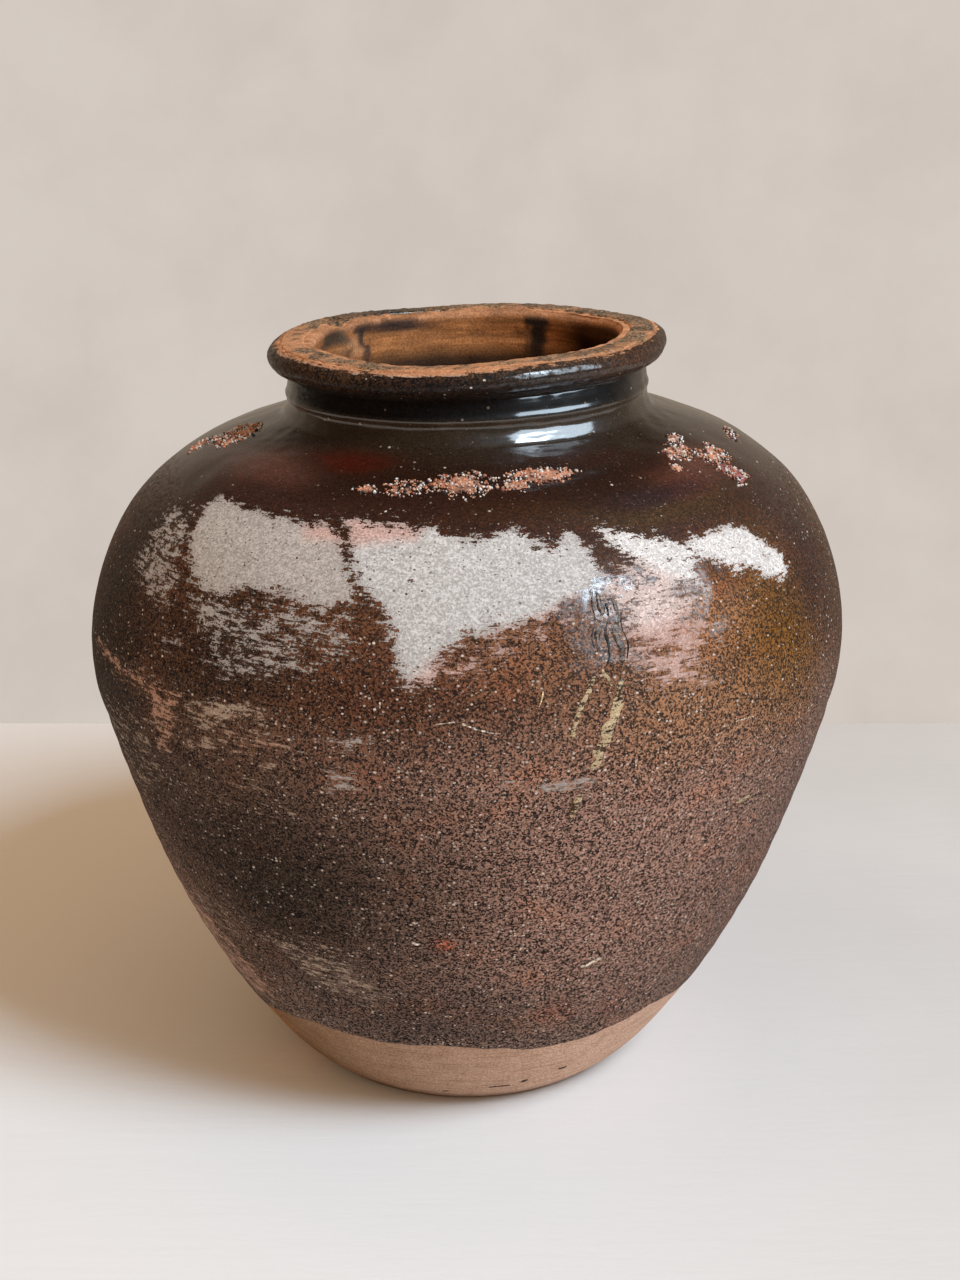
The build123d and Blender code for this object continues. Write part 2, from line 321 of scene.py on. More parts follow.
class Finish:
    """A material, or the world, with its shader ready."""

    def __init__(self, owner, shader="Principled BSDF"):
        owner.use_nodes = True
        self.owner, self.tree = owner, owner.node_tree
        self.shader = self.tree.nodes[shader]

    def node(self, kind, sockets=None, out=0, **options):
        """Add a node: options first, then values or links by socket."""
        made = self.tree.nodes.new("ShaderNode" + kind)
        for label, value in options.items():
            setattr(made, label, value)
        for socket, value in (sockets or {}).items():
            self.put(made.inputs[socket], value)
        return Signal(self, made.outputs[out])

    def put(self, socket, value):
        """Link a Signal to a socket, or write a value on it; a colour gets its fourth number."""
        if isinstance(value, Signal):
            self.tree.links.new(value.socket, socket)
        else:
            socket.default_value = (*value, 1.0) if socket.type == "RGBA" else value

    def set(self, **sockets):
        """Fill the shader's sockets; an underscore stands for a space."""
        for label, value in sockets.items():
            self.put(self.shader.inputs[label.replace("_", " ")], value)

    def painted(self, label, out="Fac"):
        """A value painted on the mesh, or with out as Color a colour."""
        return self.node("Attribute", out=out, attribute_name=label)

    def place(self, stretch_by=(1, 1, 1)):
        """Object coordinates, stretched."""
        return self.node("VectorMath", {0: self.node("TexCoord", out="Object"), 1: stretch_by}, operation="MULTIPLY")

    def axis(self, vector, letter):
        """One of a vector's three numbers."""
        return self.node("SeparateXYZ", {0: vector}, letter)

    def noise(self, size, detail, rough, stretch_by=(1, 1, 1)):
        """Noise with features of a size in metres; streaks lie flat where stretch_by is high in z."""
        wired = {"Vector": self.place(stretch_by), "Scale": 1 / size, "Detail": detail, "Roughness": rough}
        return self.node("TexNoise", wired)

    def cells(self, scale, out, stretch_by=(1, 1, 1)):
        """Voronoi cells: the distance to the nearest centre, or a colour of their own."""
        return self.node("TexVoronoi", {"Vector": self.place(stretch_by), "Scale": scale}, out)

    def channel(self, colour, name):
        """The red, green or blue of a colour."""
        return self.node("SeparateColor", {0: colour}, name)

    def rise(self, value, low, high):
        """0 below low, 1 above high, smooth between."""
        sockets = {"Value": value, "From Min": low, "From Max": high}
        return self.node("MapRange", sockets, interpolation_type="SMOOTHSTEP")

    def mix(self, share, first, second, blend="MIX"):
        """One colour into another by a share."""
        return self.node("Mix", {0: share, 6: first, 7: second}, 2, data_type="RGBA", blend_type=blend)

    def times(self, colour, *parts):
        """A colour, each of its parts multiplied."""
        return self.mix(1.0, colour, parts, "MULTIPLY")

    def relief(self, height_mm):
        """A normal bumped by a height in mm."""
        return self.node("Bump", {"Strength": 1.0, "Distance": 0.001, "Height": height_mm})


def new_finish(name):
    """The finish of a new material."""
    return Finish(bpy.data.materials.new(name))


# %% [markdown]
# ## Camera, light and floor
# The jar's ellipses fix the camera: 0.81 m in front, 0.49 m up, looking down by 19.4 degrees through a
# lens of about 50 mm. The floor's crisp shadow needs a narrow bright pane, to the right and in front,
# 47 degrees up. Long glints on the neck show a wider window, so a second lamp is there that only shiny
# surfaces see. The wall behind is only the world's colour, and the floor ends where it begins, so that
# no view is blocked.

# %% Camera
camera = placed("camera", bpy.data.cameras.new("camera"))
bpy.context.scene.camera = camera
camera.location = (0.0, -0.812, 0.487)
camera.rotation_euler = (np.radians(90 - 19.44), 0.0, 0.0)
camera.data.sensor_width = 36.0
camera.data.lens = 50.625
camera.data.shift_x = 0.0105
camera.data.clip_start = 0.01
bpy.context.scene.view_settings.view_transform = "Standard"

# %% The window's light
LAMP_AWAY, LAMP_AIM = 3.5, 0.2


def pane(name, bearing, climb, wide, tall, energy):
    """A lamp that faces the jar: bearing from the right-hand side, climb above the floor."""
    lamp = bpy.data.lights.new(name, "AREA")
    lamp.shape, lamp.size, lamp.size_y = "RECTANGLE", wide, tall
    lamp.energy, lamp.color = energy, (0.71, 0.865, 1.0)
    hung = placed(name, lamp)
    hung.rotation_euler = np.radians([90 - climb, 0, 90 + bearing])
    hung.location = hung.rotation_euler.to_matrix() @ Vector((0, 0, LAMP_AWAY)) + Vector((0, 0, LAMP_AIM))
    return hung


pane("bright_pane", -41.0, 47.0, 0.95, 1.24, 119.0)
pane("whole_window", -33.0, 34.0, 3.1, 2.3, 230.0).visible_diffuse = False

# %% The room: warm for light, dark for reflections but for the wall behind, plaster for the camera
bpy.context.scene.world = bpy.data.worlds.new("room")
room = Finish(bpy.context.scene.world, "Background")
heading = room.node("TexCoord", out="Generated")
behind = room.rise(room.axis(heading, "Y"), 0.1, 0.7) * (1 - room.rise(room.axis(heading, "Z"), 0.2, 0.6))
plaster = room.node("TexNoise", {"Vector": heading, "Scale": 9.0, "Detail": 6.0, "Roughness": 0.6})
wall_tone = room.mix(room.rise(plaster, 0.3, 0.7), (0.6, 0.535, 0.48), (0.66, 0.595, 0.54))
mirrored = room.mix(behind, (0.03, 0.023, 0.016), (0.34, 0.28, 0.22))
lit = room.mix(room.node("LightPath", out="Is Glossy Ray"), (0.57, 0.39, 0.245), mirrored)
room.set(Color=room.mix(room.node("LightPath", out="Is Camera Ray"), lit, wall_tone))

# %% The floor: white plaster, a little uneven, with painted light: lighter on the left and in front
FLOOR = [(-3.0, -2.5, 0), (3.0, -2.5, 0), (3.0, 0.388, 0), (-3.0, 0.388, 0)]
ground = new_finish("white_plaster")
cloud, pitting = ground.noise(0.25, 4.0, 0.55), ground.noise(0.004, 3.0, 0.6)
trowel = ground.noise(0.05, 3.0, 0.6, (1, 6, 1))
here = ground.place()
# Painted light: the floor's colour is lighter in front, where more light falls, and on the left, where it lightens
# the jar's shadow.
painted_light_slope = ground.axis(here, "X") * -1.0 + ground.axis(here, "Y") * -0.35
plain = ground.mix(ground.rise(cloud, 0.3, 0.7), (0.62, 0.615, 0.61), (0.67, 0.67, 0.665))
ground.set(Base_Color=ground.mix(ground.rise(painted_light_slope, -0.35, 0.22), plain, (0.86, 0.865, 0.87)),
           Roughness=0.9, Normal=ground.relief(pitting * 0.1 + trowel * 0.35))
floor_mesh = bpy.data.meshes.new("floor")
floor_mesh.from_pydata(FLOOR, [], [(0, 1, 2, 3)])
floor_mesh.materials.append(ground.owner)
placed("floor", floor_mesh)

# %% [markdown]
# ## Where the colours lie
# The jar's colours are a map: dark glassy brown round the shoulder, rust and olive clouds on it, three
# patches of white crust, beige wheel-streaks on the left, a sandy purple-brown below. It is drawn as
# outlines and soft spots, after the photograph where that shows the wall. The mesh stores each
# point's share, and fine noise breaks up the soft edges.

# %% Outlines of crust, thinner deposits and a painted sheen: coverage, softness in mm, colour, each corner's turn and height in mm
CHALK, SILVER, BRIGHT = (0.5, 0.46, 0.43), (0.58, 0.565, 0.555), (0.76, 0.74, 0.73)
BEIGE, PEACH, PINK, CRUST_AND_SHEEN = (0.52, 0.41, 0.32), (0.6, 0.37, 0.27), (0.62, 0.42, 0.37), (0.74, 0.6, 0.56)
DEPOSITS = [
    (0.91, 11, CHALK, [-55, 291, -51, 294, -45, 293, -40, 292, -34, 293, -30, 292, -26, 292, -23, 290, -21, 286,
     -19, 281, -17, 275, -16, 269, -19, 267, -22, 268, -26, 270, -29, 269, -33, 267, -38, 265, -42, 264, -45, 268,
     -48, 276, -51, 284]),
    (0.42, 14, CHALK, [-43, 264, -33, 267, -25, 270, -17, 270, -14, 257, -16, 249, -19, 244, -23, 243, -27, 239,
     -32, 234, -37, 234, -39, 242, -41, 253]),
    (0.54, 12, CHALK, [-45, 264, -34, 266, -32, 258, -35, 250, -40, 248, -43, 254]),
    (0.48, 14, CHALK, [-65, 282, -60, 290, -52, 285, -47, 274, -45, 264, -47, 256, -54, 251, -59, 260, -62, 270]),
    (0.3, 10, CHALK, [-55, 246, -43, 254, -41, 241, -50, 236]),
    (0.89, 11, SILVER, [-22, 294, -20, 295, -17, 294, -14, 293, -10, 292, -5, 292, -1, 290, 3, 290, 5, 291,
     9, 292, 11, 289, 13, 287, 16, 290, 18, 288, 19, 284, 19, 281, 20, 276, 18, 272, 17, 269, 14, 267, 11, 263,
     9, 264, 6, 260, 3, 260, 1, 260, -1, 257, -2, 254, -3, 250, -5, 243, -7, 242, -8, 246, -10, 256, -12, 266,
     -15, 273, -17, 277, -19, 283, -21, 290]),
    (0.78, 9, BRIGHT, [21, 290, 24, 289, 27, 288, 31, 286, 34, 284, 36, 282, 39, 283, 43, 282, 46, 282, 50, 281,
     52, 278, 54, 274, 55, 271, 56, 265, 55, 258, 52, 258, 49, 261, 46, 266, 43, 267, 42, 272, 38, 275, 36, 271,
     37, 264, 33, 268, 30, 266, 27, 269, 28, 272, 26, 276, 24, 281, 23, 285, 22, 288]),
    (0.9, 12, PINK, [-22, 294, -20, 295, -17, 294, -14, 293, -8, 292, -9, 289, -14, 288, -17, 287, -20, 286]),
    (0.74, 10, PINK, [-29, 291, -25, 291, -22, 290, -21, 286, -24, 287, -28, 288]),
    (0.4, 12, PINK, [-7, 242, -2, 254, 6, 260, 16, 268, 17, 262, 8, 252, -1, 242]),
    # Painted sheen: these two pale patches below the right crust stand partly for crust and partly for the window's
    # sheen on the knobbly belly.
    (0.7, 24, CRUST_AND_SHEEN, [20, 276, 26, 278, 31, 272, 35, 263, 34, 250, 27, 244, 22, 250]),
    (0.58, 22, PINK, [22, 256, 35, 258, 37, 244, 33, 229, 26, 229, 22, 243]),
    (0.53, 13, PEACH, [-73, 226, -64, 230, -57, 228, -51, 230, -50, 226, -44, 226, -41, 224, -42, 219, -43, 210,
     -43, 200, -46, 192, -49, 193, -49, 204, -50, 216, -56, 219, -61, 219, -69, 221]),
    (0.62, 10, BEIGE, [-41, 221, -34, 226, -28, 227, -24, 225, -28, 220, -36, 215, -41, 216]),
    (0.44, 10, BEIGE, [-43, 210, -33, 216, -22, 220, -21, 212, -30, 206, -41, 200]),
    (0.44, 7, PEACH, [-33, 212, -24, 214, -24, 210, -28, 206, -33, 207]),
    (0.56, 4, PEACH, [-28, 204, -25, 206, -25, 200, -28, 199]),
    (0.4, 8, CHALK, [-18, 222, -11, 222, -12, 214, -18, 212]),
    (0.46, 7, CHALK, [-19, 207, -13, 208, -13, 196, -19, 195]),
    (0.22, 16, BEIGE, [-52, 184, -25, 206, -20, 191, -23, 174, -43, 163, -54, 161]),
    (0.32, 16, BEIGE, [-80, 196, -55, 211, -48, 208, -48, 176, -62, 150, -80, 160]),
    (0.4, 14, BEIGE, [-36, 113, -24, 114, -18, 103, -13, 90, -16, 78, -25, 80, -30, 92, -37, 104]),
    (0.3, 12, BEIGE, [-58, 118, -39, 116, -37, 106, -47, 92, -58, 94]),
    (0.44, 14, PEACH, [-74, 112, -60, 106, -49, 92, -44, 71, -42, 57, -53, 50, -62, 58, -70, 80]),
    (0.5, 4, CHALK, [4, 205, 16, 202, 17, 199, 16, 198, 4, 201]),
    (0.62, 18, CHALK, [104, 286, 122, 290, 138, 284, 140, 268, 128, 262, 118, 268, 106, 270]),
    (0.5, 12, CHALK, [100, 262, 126, 262, 146, 258, 150, 238, 120, 236, 98, 246]),
    (0.6, 18, SILVER, [-172, 289, -150, 290, -138, 284, -142, 268, -160, 262, -170, 272]),
    (0.46, 12, BEIGE, [-176, 250, -140, 258, -118, 240, -124, 214, -160, 206, -178, 224]),
    (0.42, 16, PEACH, [-118, 206, -98, 212, -86, 196, -96, 168, -114, 176]),
    (0.46, 10, BEIGE, [92, 196, 118, 206, 140, 196, 132, 168, 104, 164]),
    (0.46, 10, BEIGE, [150, 120, 172, 128, 186, 110, 176, 82, 154, 88]),
]

# %% Soft spots of colour: turn, height, half width and half height in mm, strength, colour
SPOTS = [
    (30, 150, 120, 95, 0.85, 0.2, 0.122, 0.098),
    (68, 124, 70, 85, 0.75, 0.1, 0.058, 0.046),
    (-30, 142, 80, 68, 0.92, 0.018, 0.012, 0.0075),
    (-8, 70, 60, 24, 0.75, 0.06, 0.042, 0.036),
    (-48, 90, 24, 50, 0.55, 0.068, 0.041, 0.027),
    (-66, 200, 62, 66, 0.88, 0.015, 0.0095, 0.0065),
    (50, 240, 32, 42, 0.92, 0.104, 0.043, 0.0),
    (30, 222, 46, 26, 0.7, 0.175, 0.085, 0.036),
    (-8, 236, 50, 24, 0.8, 0.054, 0.019, 0.007),
    (37, 256, 24, 15, 0.7, 0.22, 0.1, 0.04),
    (8, 250, 26, 16, 0.7, 0.13, 0.062, 0.03),
    (38, 293, 55, 5, 0.75, 0.062, 0.03, 0.007),
    (14, 295, 40, 5, 0.6, 0.036, 0.016, 0.005),
    (-30, 309, 34, 7, 0.9, 0.062, 0.006, 0.001),
    (56, 300, 34, 12, 0.9, 0.125, 0.042, 0.026),
    (40, 298, 36, 5, 0.7, 0.026, 0.012, 0.014),
    (-53, 304, 40, 12, 0.85, 0.12, 0.045, 0.031),
    (-40, 297, 60, 7, 0.6, 0.045, 0.018, 0.012),
    (-64, 256, 34, 50, 0.85, 0.028, 0.018, 0.011),
    (-36, 244, 36, 30, 0.82, 0.021, 0.012, 0.007),
    (64, 264, 28, 36, 0.85, 0.03, 0.007, 0.003),
    (82, 226, 42, 50, 0.85, 0.045, 0.019, 0.004),
    (30, 308, 46, 6, 0.6, 0.04, 0.011, 0.005),
    # A lighter spot on the neck's left, partly glaze and partly a painted sheen of the window.
    (-50, 318, 34, 7, 0.7, 0.034, 0.024, 0.015),
    (-4, 340, 90, 7, 0.85, 0.01, 0.0045, 0.002),
    (66, 341, 90, 8, 0.75, 0.052, 0.022, 0.01),
    (-60, 341, 60, 8, 0.6, 0.036, 0.018, 0.009),
    (-4, 121.5, 3.6, 3.6, 0.75, 0.3, 0.08, 0.04),
    (18, 78, 11, 8, 0.4, 0.15, 0.052, 0.036),
    (30, 74, 8, 12, 0.4, 0.14, 0.052, 0.036),
    (130, 300, 60, 16, 0.8, 0.06, 0.012, 0.007),
    (-120, 302, 70, 14, 0.8, 0.05, 0.02, 0.012),
    (150, 240, 60, 36, 0.8, 0.12, 0.062, 0.018),
    (-150, 232, 70, 40, 0.8, 0.06, 0.036, 0.022),
    (180, 130, 90, 70, 0.75, 0.08, 0.05, 0.036),
    (120, 130, 60, 80, 0.6, 0.14, 0.078, 0.06),
    (-115, 130, 70, 80, 0.8, 0.055, 0.036, 0.026),
]

# %% The glaze from the slip line up to the rim: height, colour, gloss, sand; the neck's colours hold painted sheen and shade
GLAZE_ROWS = np.array([
    (0.03, 0.11, 0.08, 0.066, 0.0, 0.3), (0.12, 0.14, 0.095, 0.078, 0.0, 0.52),
    (0.19, 0.128, 0.078, 0.058, 0.02, 0.6), (0.225, 0.1, 0.048, 0.026, 0.12, 0.5),
    (0.262, 0.08, 0.032, 0.013, 0.4, 0.3), (0.288, 0.042, 0.014, 0.005, 0.8, 0.12),
    # Rows 0.313 and 0.3245: olive-brown glaze, made lighter as a painted sheen of the window on the neck. Rows 0.3265
    # and 0.335: dark glaze, set near black as the painted shade under the rim.
    (0.303, 0.022, 0.006, 0.002, 1.0, 0.06), (0.313, 0.026, 0.014, 0.006, 1.0, 0.04),
    (0.3245, 0.034, 0.02, 0.009, 1.0, 0.03), (0.3265, 0.004, 0.002, 0.001, 1.0, 0.01),
    (0.335, 0.006, 0.003, 0.0015, 0.9, 0.02), (0.34, 0.026, 0.014, 0.007, 0.7, 0.06),
    (0.347, 0.052, 0.028, 0.014, 0.45, 0.12),
]).T
LIP_TONE = np.array((0.62, 0.3, 0.15))


def washed(tone, share, colour):
    """A tone with a share of another colour in it."""
    share = np.asarray(share)[..., None]
    return tone * (1 - share) + np.asarray(colour) * share


def depth_inside(outline, turn, run):
    """Millimetres inside an outline: the distance to its nearest side, below 0 outside, as told by how
    many sides a line to the left of the point crosses."""
    corners = np.array(outline, float).reshape(-1, 2)
    centre = corners[:, 0].mean()
    corners = np.stack([(corners[:, 0] - centre) * MM_PER_DEGREE, run_at(corners[:, 1] / 1000) * 1000], axis=1)
    x, y = apart_from(turn, centre), run * 1000
    nearest, inside_it = np.full(x.shape, 1e9), np.zeros(x.shape, bool)
    for (x0, y0), (x1, y1) in zip(corners, np.roll(corners, -1, axis=0)):
        dx, dy = x1 - x0, y1 - y0
        share = np.clip(((x - x0) * dx + (y - y0) * dy) / (dx * dx + dy * dy), 0, 1)
        nearest = np.minimum(nearest, np.hypot(x - x0 - share * dx, y - y0 - share * dy))
        inside_it ^= ((y0 > y) != (y1 > y)) & (x < x0 + dx * (y - y0) / (dy if dy else 1e-9))
    return np.where(inside_it, nearest, -nearest)


def weathering(turn, run):
    """What the material needs at each point. Lumps first shift the place, so no edge follows its outline."""
    turn, run = (np.array(part) for part in np.broadcast_arrays(turn, run))
    height = at_run(run)[1]
    *tone, gloss, sand = (np.interp(height, GLAZE_ROWS[0], row) for row in GLAZE_ROWS[1:])
    tone = np.stack(tone, axis=-1)
    wide, tall = turn + uneven(turn, run, (60, 50, 41)), run + uneven(turn, run, (6, 40, 43))
    for centre, level, half_width, half_height, strength, *colour in SPOTS:
        up = (tall - run_at(level / 1000)) * 1000 / half_height
        away = (apart_from(wide, centre) / half_width) ** 2 + up ** 2
        tone = washed(tone, strength * bell(away, power=1.3), colour)
    shifted = turn + uneven(turn, run, (16, 18, 31), (6, 6, 33))
    raised = run + uneven(turn, run, (1.8, 14, 35), (0.8, 5, 37))
    crust, crust_tone = turn * 0, tone * 0 + CHALK
    for coverage, softness, colour, outline in DEPOSITS:
        depth = depth_inside(outline, shifted, raised)
        crust = np.maximum(crust, coverage * np.clip(0.5 + depth / softness, 0, 1))
        crust_tone = washed(crust_tone, eased(0.6 + depth / 8), colour)
    lip = eased((height - 0.3448) / 0.0014)
    crust = np.maximum(crust, lip * (0.34 + 0.34 * bell(apart_from(turn, -42) / 130, power=4)))
    left = bell(apart_from(turn, -85) / 170, power=4)
    gloss = gloss * (1 - 0.45 * left * eased((0.3 - height) / 0.03))
    gloss = gloss * (1 - 0.72 * bell(apart_from(turn, -27) / 95, power=4) * eased((height - 0.3258) / 0.0012))
    gloss = gloss * (1 - 0.75 * bell(apart_from(turn, 11) / 26, (height - 0.259) / 0.014))
    gloss = np.maximum(gloss, 0.24 * bell(apart_from(turn, 31) / 28, (height - 0.256) / 0.026))
    sand = sand * (1 - 0.55 * left) * (1 - 0.5 * bell(apart_from(turn, 52) / 80, (height - 0.242) / 0.03))
    return dict(tone=tone, crust=crust, crust_tone=washed(crust_tone, lip, LIP_TONE), gloss=gloss, sand=sand)


print(len(DEPOSITS), "deposits", len(SPOTS), "spots")

# %% [markdown]
# ## The weathered glaze
# Slip and glaze share one finish, because one runs into the other. Where fine noise is below the
# painted coverage there is crust: 0.8 gives a white skin with dark pits, 0.3 pale flecks along the
# wheel. Low down, sand sticks out of a dull slip; high up, a clear coat mirrors the window.

# %% Weathered glaze
def weathered_glaze():
    """Coverage against noise for the crust, grains each of its own lightness, Voronoi dots for two sizes
    of sand, a clear coat for the gloss."""
    glaze = new_finish("weathered_glaze")
    noise, mix, rise, times, painted = glaze.noise, glaze.mix, glaze.rise, glaze.times, glaze.painted
    tone, crust_tone = painted("tone", "Color"), painted("crust_tone", "Color")
    crust, gloss, sand = painted("crust"), painted("gloss"), painted("sand")
    grain = noise(0.0011, 3.0, 0.7)
    fret = noise(0.0022, 2.0, 0.6, (1, 1, 1.3))
    blotch = noise(0.008, 3.0, 0.6, (1, 1, 1.8))
    dash = noise(0.0055, 3.0, 0.65, (1, 1, 5))
    streak = noise(0.026, 4.0, 0.65, (1, 1, 14))
    cloud = noise(0.035, 3.0, 0.55, (1, 1, 1.6))
    each = glaze.channel(glaze.cells(1450.0, "Color"), "Red")

    def dots(scale, share):
        """A share of the Voronoi cells, each a round grain of its own size and brightness."""
        away, pick = (glaze.cells(scale, out, (1, 1, 1.2)) for out in ("Distance", "Color"))
        red, green, blue = (glaze.channel(pick, name) for name in ("Red", "Green", "Blue"))
        dot = (1 - rise(away - green * 0.24, 0.06, 0.22)) * rise(share - red, -0.01, 0.02)
        return dot * (blue * 0.75 + 0.25)

    broken = each * 0.16 + grain * 0.38 + fret * 0.3 + dash * 0.75 + blotch * 0.43 + streak * 0.45 - 0.735
    covered = rise(crust - (broken - 0.5) * 1.7 - 0.5, -0.04, 0.04) * rise(crust, 0.0, 0.12)
    covered = covered * (1 - dots(640.0, 0.18))
    crowded = sand * (0.25 + 1.1 * rise(blotch, 0.35, 0.65))
    coarse, fine = dots(560.0, crowded * 0.6), dots(1200.0, crowded * 1.2)
    level = rise(each * 0.7 + (grain * 0.85 + fret * 0.15) * 1.2 - 0.47, 0.24, 0.8)
    calm = gloss * 0.75
    body = mix(level, times(tone, 0.08, 0.07, 0.06), times(tone, 2.6, 2.4, 2.24))
    body = mix(calm, body, tone)
    body = mix(rise(streak, 0.56, 0.72) * 0.45, body, times(body, 0.5, 0.46, 0.44))
    body = mix(rise(cloud, 0.52, 0.72) * 0.5, body, times(body, 1.45, 1.1, 0.85))
    sandy = mix(fine * 0.85, body, mix(0.55, times(tone, 3.2, 3.0, 2.9), (0.56, 0.43, 0.36)))
    sandy = mix(coarse * 0.95, sandy, (0.78, 0.67, 0.58))
    brushed = rise(dash * 0.5 + fret * 0.3 + streak * 0.2, 0.36, 0.62) * 0.35 + level * 0.65
    crusty = mix(brushed, times(crust_tone, 0.6, 0.57, 0.55), times(crust_tone, 1.24, 1.24, 1.24))
    worn = (1 - rise(gloss, 0.6, 0.95)) * rise(grain * 0.5 + fret * 0.5, 0.44, 0.6)
    shine = gloss * (1 - covered) * (1 - worn * 0.85)
    height = covered * 0.14 + level * (1 - calm) * 0.26 + coarse * 0.3 + blotch * 0.12 + streak * 0.08
    glaze.set(Base_Color=mix(covered, sandy, crusty), Roughness=0.86 - shine * 0.4, Specular_IOR_Level=0.12,
              Coat_Weight=shine, Coat_Roughness=0.12, Coat_IOR=1.65, Normal=glaze.relief(height))
    return glaze.owner


WEATHERED_GLAZE = weathered_glaze()

# %% [markdown]
# ## Bare clay
# Foot, worn lip and inside are bare stoneware: a painted tone for the big changes, noise for the
# grain, flat streaks for the brush.

# %% Bare clay
def bare_clay(name, tone=None):
    """The painted tone, or one all over, mottled, with dark and light grains and faint wheel lines."""
    clay = new_finish(name)
    noise, mix, rise, times = clay.noise, clay.mix, clay.rise, clay.times
    tone = tone or clay.painted("tone", "Color")
    grain, blotch = noise(0.001, 3.0, 0.7), noise(0.008, 3.0, 0.6)
    line = noise(0.03, 3.0, 0.6, (1, 1, 24))
    body = mix(rise(grain, 0.34, 0.64), times(tone, 0.66, 0.62, 0.58), times(tone, 1.16, 1.17, 1.19))
    body = mix(rise(blotch, 0.4, 0.66) * 0.5, body, times(body, 0.78, 0.73, 0.68))
    body = mix(rise(line, 0.5, 0.66) * 0.45, body, times(body, 0.6, 0.52, 0.45))
    height = grain * 0.16 + blotch * 0.1 + line * 0.12
    clay.set(Base_Color=body, Roughness=0.88, Specular_IOR_Level=0.15, Normal=clay.relief(height))
    return clay.owner


BARE_CLAY = bare_clay("bare_clay")
COIL_CLAY = bare_clay("coil_clay", (0.27, 0.125, 0.055))

# %% [markdown]
# ## The seven courses of clay
# The jar was luted from a slab and thrown rings. Each is a closed loop carried round the axis: up its
# outside, over the seam's bevel, down its inside with the wheel's ridges, and back.

# %% Clay tones; smears in the mouth: turn, height, half width in mm, half height, strength, colour
# Painted shade and light on the foot: a shaded tone for the left and back, a lit one for the right.
FOOT_SHADED_LEFT, FOOT_LIT_RIGHT = np.array((0.25, 0.137, 0.065)), (0.7, 0.47, 0.35)
INNER_TONE, SHADED_TONE = np.array((0.64, 0.26, 0.085)), (0.032, 0.007, 0.001)
SMEARS = [
    (-134, 0.337, 7, 0.01, 0.95, (0.022, 0.018, 0.022)),
    (-150, 0.3425, 44, 0.0038, 0.9, (0.026, 0.02, 0.022)),
    (-125, 0.3355, 20, 0.005, 0.9, (0.62, 0.31, 0.15)),
]


def clay_tone(turn, radius, height, side):
    """Pinkish at the foot, darker towards the bottom, with painted shade on the left and at the back, and an
    orange stain. Orange-brown inside, with painted shade on the right, in the pocket and below the neck, and
    a drip and smears. Orange at the lip."""
    degrees, along = np.degrees(turn), turn * 0.07
    ragged = turn + 0.06 * lumps(along, height, 0.0075, 55) + 0.03 * lumps(along, height, 0.003, 56)
    # Painted shade and light: the foot's clay is darker on the left and at the back, and lighter on the right where
    # the light falls.
    tone = washed(FOOT_SHADED_LEFT, eased((degrees + 56) / 98) * eased((179 - degrees) / 60), FOOT_LIT_RIGHT)
    tone = tone * (0.62 + 0.38 * eased(height / 0.01))[..., None]
    tone = washed(tone, bell(apart_from(turn, -60) / 22) * 0.75, (0.5, 0.2, 0.075))
    # Painted shade: the inside wall darkens on the right, away from the light, and more so lower down.
    shaded = eased((76 - np.abs(degrees - 70)) / 20) * (0.86 + 0.14 * eased((0.341 - height) / 0.008))
    within = washed(INNER_TONE, shaded, SHADED_TONE) * (0.72 + 0.28 * lumps(along, height * 12, 0.012, 51))[..., None]
    drip = bell(apart_from(ragged, 150.5) / 16, power=6) * bell(np.clip(0.336 - height, 0, 1) / 0.014, power=4)
    within = washed(within, drip * 0.95, (0.012, 0.008, 0.006))
    for centre, level, half_width, half_height, strength, colour in SMEARS:
        share = bell(apart_from(ragged, centre) / half_width, (height - level) / half_height, power=4) * strength
        within = washed(within, share, colour)
    # Painted shade: the inside goes near black below the neck, where little light reaches.
    within = washed(within, 1 - eased((height - 0.3232) / 0.0016), (0.006, 0.004, 0.003))
    tone = np.where((side < 0)[..., None], within, tone)
    # Painted shade: a dark spot in the hollow of the pocket, inside the lip.
    pocket = bell(apart_from(ragged, -114) / 31, (height - 0.3415) / 0.0042, power=4) * (side < 0) * 0.93
    sooty = bell(apart_from(turn, -150) / 42, power=4) * (lumps(along, radius, 0.004, 54) > -0.3)
    lip = eased((height - 0.3425) / 0.003) * (1 - 0.8 * sooty) * (1 - pocket)
    lip_tone = LIP_TONE * (0.85 + 0.35 * lumps(turn * 0.08, radius, 0.006, 53))[..., None]
    return washed(washed(tone, pocket, (0.055, 0.04, 0.026)), lip, lip_tone)


# %% Clay courses
SHOWN = ("base_slab", "foot_wall", "rim_roll")
tops = {node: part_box(node)[1].z for node in COURSES}


def course_loop(node, step):
    """(radius, height, side) round a course's section; side is 1 outside, -1 inside and 0 between."""
    place = COURSES.index(node)
    outer = stretch(outside, tops[COURSES[place - 1]] if place else 0.0, tops[node], step)
    if node == "base_slab":
        inner = np.linspace(inside[0], (0.0, inside[0, 1]), 24)
        parts = [(np.linspace((0.0, 0.0), outer[0], 20)[:-1], 0), (outer, 1), (inner, 0)]
    else:
        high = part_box(COURSES[place + 1])[0].z if node != "rim_roll" else inside[-1, 1]
        inner = stretch(inside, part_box(node)[0].z, high, step)[::-1]
        over = np.linspace(outer[-1], inner[0], 8)[1:-1]
        if node == "rim_roll":
            flat = np.linspace(outer[-1, 0] - 0.0004, inner[0, 0] + 0.0004, 24)
            over = np.stack([flat, np.full(24, tops[node])], axis=1)
        parts = [(outer, 1), (over, 0), (inner, -1), (np.linspace(inner[-1], outer[0], 8)[1:-1], 0)]
    return np.concatenate([np.insert(points, 2, side, axis=1) for points, side in parts])


